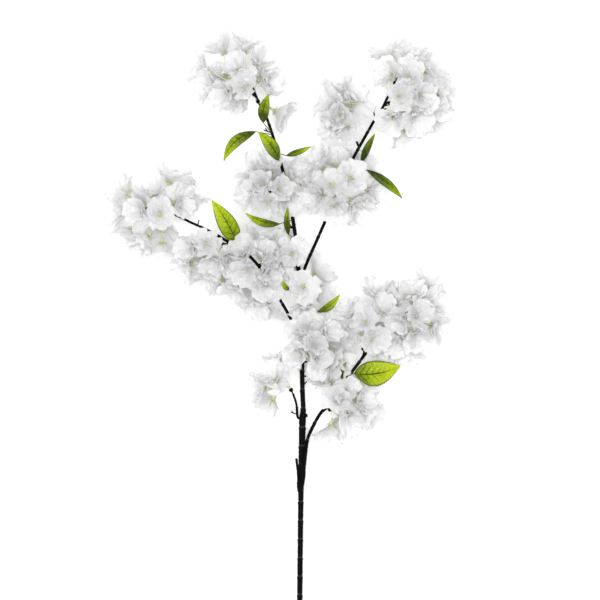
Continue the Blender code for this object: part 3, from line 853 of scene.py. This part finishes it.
def add_collar(mesh, name, before, after):
    """An oval collar over this many of the main stem's rings before and past the side stem's foot."""
    path, radii, _ = resampled("main_stem")
    foot, reach = STEMS[name][0][0], STEMS[name][1][0]
    nearest = np.argmin(np.linalg.norm(path - foot, axis=1))
    rows = slice(max(0, nearest - before), nearest + after)
    middle, main = path[rows], radii[rows]
    number = np.arange(len(middle))
    lean = np.clip((number + 1) / before, 0, 1)
    beside = side_stem_at(name, middle) - middle
    wide = main + TAPE_PROUD + (np.linalg.norm(beside, axis=1) + reach - main) / 2 * lean
    centre = middle + unit(beside) * (wide - main)[:, None]
    narrow = (main + TAPE_PROUD + COLLAR_PROUD) / wide
    angles = angles_round(COLLAR_SIDES)
    oval = 1 / np.sqrt(np.cos(angles) ** 2 + (np.sin(angles) / narrow[:, None]) ** 2)
    shape = oval * (BETWEEN_RIDGES + tape_ridge(number * STEM_STEP, angles, *COLLAR_RIDGE))
    add_taped(mesh, centre, wide, COLLAR_SIDES, shape, unit(beside[-1]))


def side_stem_at(name, middle):
    """The place on a side stem that is nearest to each point of the main stem."""
    path, _, _ = resampled(name)
    return np.array([path[np.argmin(np.linalg.norm(path - point, axis=1))] for point in middle])


# Each fork: its stem, how far along it, its heading in plan (degrees from +X), its length (mm), how far
# it turns on the way (degrees), its thickness beside a plain one, and whether a second prong leaves it.
FORKS = (
    ("twig_lower_left", 0.12, 170, 11, -20, 0.9, True),
    ("main_stem", 0.385, 15, 7, 20, 3.2, False),
    ("main_stem", 0.372, 150, 5, 0, 3.0, False),
    ("main_stem", 0.438, 55, 21, -10, 0.9, False),
    ("main_stem", 0.459, -10, 6, 0, 1.5, False),
    ("branch_lower_right", 0.324, 115, 10, -20, 1.1, False),
    ("branch_lower_right", 0.334, 5, 11, 15, 0.9, True),
    ("branch_lower_right", 0.646, 80, 10, 0, 1.2, True),
    ("branch_upper_right", 0.797, 128, 17, -85, 1.1, False),
    ("branch_upper_right", 0.834, 22, 10, 10, 0.9, False),
    ("branch_upper_right", 0.851, 45, 10, -20, 0.8, True),
    ("main_stem", 0.902, 172, 12, -15, 1.0, True),
    ("branch_left", 0.754, 70, 8, 10, 0.9, False),
    ("branch_left", 0.33, 200, 7, 0, 1.3, False),
)
FORK_RISE = 0.25  # for each part that it runs in plan
SIDE_PRONG = 0.5  # its place along the fork and its length, beside the fork's
SIDE_PRONG_ANGLE, SIDE_PRONG_TURN = -50, 20  # degrees
SIDE_PRONG_THICKNESS = 0.8  # beside the fork's
PRONG_STEPS, PRONG_SIDES = 8, 7
PRONG_RADII = (1.15, 0.8)  # from its foot to its end, mm
BUD_RADII = (0.95, 1.1, 0.7)  # of its last rings, mm
PRONG_ROUGHNESS = (0.88, 1.1)


def make_forks():
    """The short cut twigs and buds along the stems."""
    mesh = Mesh()
    for stem, share, heading, length, turn, thickness, pronged in FORKS:
        path, _, _ = resampled(stem)
        start = path[int(share * (len(path) - 1))]
        add_prong(mesh, start, heading, length, turn, thickness)
        if pronged:
            side = start + heading_way(heading + turn / 4) * length * SIDE_PRONG * MM
            way, thin = heading + SIDE_PRONG_ANGLE, thickness * SIDE_PRONG_THICKNESS
            add_prong(mesh, side, way, length * SIDE_PRONG, SIDE_PRONG_TURN, thin)
    mesh.make("forks", "bark")


def heading_way(heading):
    """A direction in plan that rises a little."""
    turn = math.radians(heading)
    return np.array([math.cos(turn), math.sin(turn), FORK_RISE])


def add_prong(mesh, start, heading, length, turn, thickness):
    """One tapering twig with a blunt bud at its end."""
    path, place = [start], start
    for number in range(PRONG_STEPS):
        way = heading_way(heading + turn * number / PRONG_STEPS)
        place = place + way * length / PRONG_STEPS * MM
        path.append(place)
    radii = np.linspace(*PRONG_RADII, len(path))
    radii[-len(BUD_RADII) :] = BUD_RADII
    shape = rng.uniform(*PRONG_ROUGHNESS, (len(path), PRONG_SIDES))
    add_taped(mesh, np.array(path), radii * thickness * MM, PRONG_SIDES, shape)


# Leaves


LEAF_TEETH = 22
LEAF_ROWS, LEAF_COLUMNS = 3 * LEAF_TEETH + 1, 17
LEAF_CURVE_STEPS = 12  # between two rows of a CAD leaf
MIDRIB_ZONE = 0.3  # either side of the middle, beside the leaf's width
TOOTH, TOOTH_INWARD = 0.16, 0.4  # its depth beside the half width, and the part that is cut inwards
SIDE_VEINS = 8
VEIN_SLANT = 0.85  # along the leaf, for each part that it runs outwards
VEIN_HALF, VEIN_FADE = 0.2, 0.7  # beside the space between two, and the loss at the leaf's edge
SIDE_VEIN_SHARE = 0.8  # its depth beside the midrib's
MIDRIB_FLAT, MIDRIB_HALF = 1.15, 0.09  # above 1 for a flat bottom, and beside the half width
VEIN_DEPTH = 0.4  # mm
PUFF = 0.2  # four times a blade's swell between midrib and edge, beside the half width
LEAF_SHEET = 0.35 * MM
RIB_START, RIB_END = 3, 0.86  # a row of the blade, and a part of the blade
RIB_BELOW = 0.35  # mm
RIB_RADII = (0.75, 0.3)  # mm
RIB_SIDES, STALK_CURVE_STEPS = 7, 6
LEAF_DARKNESS = {  # 0 for the brightest leaves, 1 for the darkest
    "leaf_twig": 0.8, "leaf_right_middle": 0.55, "leaf_tip": 0.5, "leaf_centre": 0.35,
    "leaf_arched": 0.35, "leaf_upper_left": 0.3, "leaf_upper_right": 0.4, "leaf_inner": 0.6,
    "leaf_right_large": 0.0, "leaf_left_large": 0.1, "leaf_bud": 0.6,
}
USUAL_DARKNESS = 0.3
LEAF_FOOT_SPAN = 3 * MM  # wider than the foot of a CAD leaf's stalk
LEAF_MARGIN = 1.5 * MM  # between a leaf and the petals that tuck under it
TUCK_DEPTH = 22 * MM  # a petal further above a leaf than this stays over it
COVER_STEP = 3
AMONG_PETALS = ("leaf_left_large", "leaf_right_large", "leaf_bud", "leaf_small")  # partly under petals


class Leaf:
    """One leaf as the CAD solid gives it: its stalk, and its blade's lines, half widths and upper side."""

    def __init__(self, name):
        lines = read_leaf(name)
        self.name = name
        self.stalk = lines[1, :2]
        (self.left, self.middle, self.right), self.length = refined(lines[:, 1:])
        self.half = np.linalg.norm(self.right - self.left, axis=1) / 2
        normal = unit(np.cross(self.right - self.left, np.gradient(self.middle, axis=0)))
        self.normal = normal if normal[:, 2].mean() > 0 else -normal


def read_leaf(name):
    """The left edge, midrib and right edge of a CAD leaf, from its stalk's foot to its tip."""
    mesh = welded(name)
    lines = np.concatenate([path for path, _ in STEMS.values()])
    first = min(mesh.verts, key=lambda vert: np.linalg.norm(lines - np.array(vert.co), axis=1).min())
    start = [vert for vert in mesh.verts if (vert.co - first.co).length < LEAF_FOOT_SPAN]
    rows, across = [], None
    for ring in layers_from(start, len(mesh.verts)):
        left, right = max(
            ((np.array(a.co), np.array(b.co)) for a in ring for b in ring),
            key=lambda ends: np.linalg.norm(ends[1] - ends[0]),
        )
        if across is not None and (right - left).dot(across) < 0:
            left, right = right, left
        across = unit(right - left)
        rows.append([left, midrib_of(ring, left, right), right])
    mesh.free()
    return np.array(rows).transpose(1, 0, 2)


def midrib_of(ring, left, right):
    """The middle of a leaf's row: its vertices away from the two edges, or halfway where it has none."""
    points = np.array([vert.co for vert in ring])
    share = (points - left) @ (right - left) / (right - left).dot(right - left)
    inner = points[np.abs(share - 0.5) < MIDRIB_ZONE]
    return inner.mean(0) if len(inner) else (left + right) / 2


def refined(lines):
    """A leaf's three lines as smooth curves of LEAF_ROWS points, evenly spaced along the midrib."""
    lines = [smooth_path(line, LEAF_CURVE_STEPS) for line in lines]
    length = distances_along(lines[1])
    along = np.linspace(0, length[-1], LEAF_ROWS)
    even = [np.column_stack([np.interp(along, length, line[:, i]) for i in range(3)]) for line in lines]
    return even, length[-1]


def slant_of(along, across, width, length):
    """How many side veins each point of a leaf is past: a vein runs where this is a whole number."""
    return (along[:, None] * length - np.abs(across) * width[:, None] * VEIN_SLANT) * SIDE_VEINS / length


def sunk_veins(slant, across):
    """How much of a vein runs through each point of a leaf, for the blade to sink there."""
    from_vein = 0.5 - np.abs(slant % 1 - 0.5)
    side = np.clip(1 - from_vein / VEIN_HALF, 0, 1) * (1 - np.abs(across) ** 2 * VEIN_FADE)
    midrib = np.clip(MIDRIB_FLAT - np.abs(across) / MIDRIB_HALF, 0, 1)
    return np.maximum(side * SIDE_VEIN_SHARE, midrib)


def blade_grid(leaf, along, across, slant):
    """Points between a leaf's edges: toothed, puffed beside the midrib and sunk at the veins."""
    tooth = 1 + TOOTH * ((along * LEAF_TEETH) % 1 - TOOTH_INWARD) * np.sin(np.pi * along) ** 0.5
    share = np.abs(across) * np.where(np.abs(across) == 1, tooth[:, None], 1)
    edge = np.where(across[None, :, None] > 0, leaf.right[:, None], leaf.left[:, None])
    raised = (1 - sunk_veins(slant, across)) * VEIN_DEPTH * MM
    puff = np.abs(across) * (1 - np.abs(across)) * leaf.half[:, None] * PUFF + raised
    middle = leaf.middle[:, None]
    return middle + (edge - middle) * share[..., None] + leaf.normal[:, None] * puff[..., None]


def make_blade(leaf):
    """A leaf's blade as a sheet of cloth, with the values that its material reads."""
    along, across = np.linspace(0, 1, LEAF_ROWS), np.linspace(-1, 1, LEAF_COLUMNS)
    slant = slant_of(along, across, leaf.half, leaf.length)
    points, faces, rim = shell(blade_grid(leaf, along, across, slant), LEAF_SHEET)
    rows, columns = np.broadcast_to(along[:, None], slant.shape), np.broadcast_to(across, slant.shape)
    dark = LEAF_DARKNESS.get(leaf.name, USUAL_DARKNESS)
    blade = Mesh()
    blade.add(points, faces, rim, dark=dark, along=twice(rows), across=twice(columns), slant=twice(slant))
    blade.make(f"blade_{leaf.name}", "leaf", (leaf.name,))


def make_rib(leaf):
    """A leaf's stalk, and the rib that it runs on as under the blade."""
    rows = slice(RIB_START, int(LEAF_ROWS * RIB_END))
    under = leaf.middle[rows] - leaf.normal[rows] * RIB_BELOW * MM
    path = np.concatenate([smooth_path(leaf.stalk, STALK_CURVE_STEPS), under])
    rib = Mesh()
    rib.add(*tube(path, np.linspace(*RIB_RADII, len(path)) * MM, RIB_SIDES))
    rib.make(f"rib_{leaf.name}", "rib")


LEAVES = [Leaf(name) for name in NODES if name.startswith("leaf")]
OVER_BLOSSOMS = [leaf for leaf in LEAVES if leaf.name not in AMONG_PETALS]
# Places along those leaves, each with half the leaf's width there.
COVER = np.concatenate([np.column_stack([leaf.middle, leaf.half])[::COVER_STEP] for leaf in OVER_BLOSSOMS])


# Surroundings


FLOOR_SIZE = 12
FLOOR_GLOW = 0.14  # the floor's own light, which softens the shade between blossoms
WORLD_LIGHT = 0.55
OVERHEAD = dict(place=(-0.1, 0.1, 3.2), aim=(0, 0, 0), size=1.4, power=92)

# The camera looks straight down on a place that is measured from the stem's cut end.
VIEW_FROM_CUT_END = (0.0003, 0.480)
VIEW_WIDTH = 0.870
VIEW_HEIGHT = 0.055  # the height at which the picture is that wide
LENS = 100
SENSOR = 36


def add_floor():
    material, tree, shader = new_material("floor_paper", 0.9)
    colour = ramp(tree, noise(tree, 3, 2), (0.3, grey(0.95)), (0.7, grey(0.97)))
    tree.links.new(colour, shader.inputs["Base Color"])
    shader.inputs["Emission Color"].default_value = (*WHITE, 1)
    shader.inputs["Emission Strength"].default_value = FLOOR_GLOW
    bpy.ops.mesh.primitive_plane_add(size=FLOOR_SIZE)
    floor = bpy.context.object
    floor.name = "floor"
    floor.data.materials.append(material)


def add_light(name, place, aim, size, power):
    """A square soft light."""
    data = bpy.data.lights.new(name, "AREA")
    data.size = size
    data.energy = power
    light = put_in_scene(name, data)
    light.location = place
    light.rotation_euler = (Vector(aim) - Vector(place)).to_track_quat("-Z", "Y").to_euler()


def add_world(strength):
    world = bpy.data.worlds.new("studio")
    world.use_nodes = True
    background = world.node_tree.nodes["Background"]
    background.inputs["Color"].default_value = (*WHITE, 1)
    background.inputs["Strength"].default_value = strength
    bpy.context.scene.world = world


def add_camera():
    """A long lens straight above the spray."""
    data = bpy.data.cameras.new("camera")
    data.lens = LENS
    data.sensor_width = SENSOR
    camera = put_in_scene("camera", data)
    cut_end = STEMS["main_stem"][0][0]
    place = cut_end[:2] + VIEW_FROM_CUT_END
    camera.location = (*place, VIEW_HEIGHT + VIEW_WIDTH * LENS / SENSOR)
    bpy.context.scene.camera = camera


def main():
    make_sprays()
    for name in STEMS:
        make_stem(name)
    for leaf in LEAVES:
        make_blade(leaf)
        make_rib(leaf)
    make_collars()
    make_roots()
    make_forks()
    add_floor()
    add_world(WORLD_LIGHT)
    add_light("overhead", **OVERHEAD)
    add_camera()
    bpy.context.scene.view_settings.view_transform = "Standard"


main()
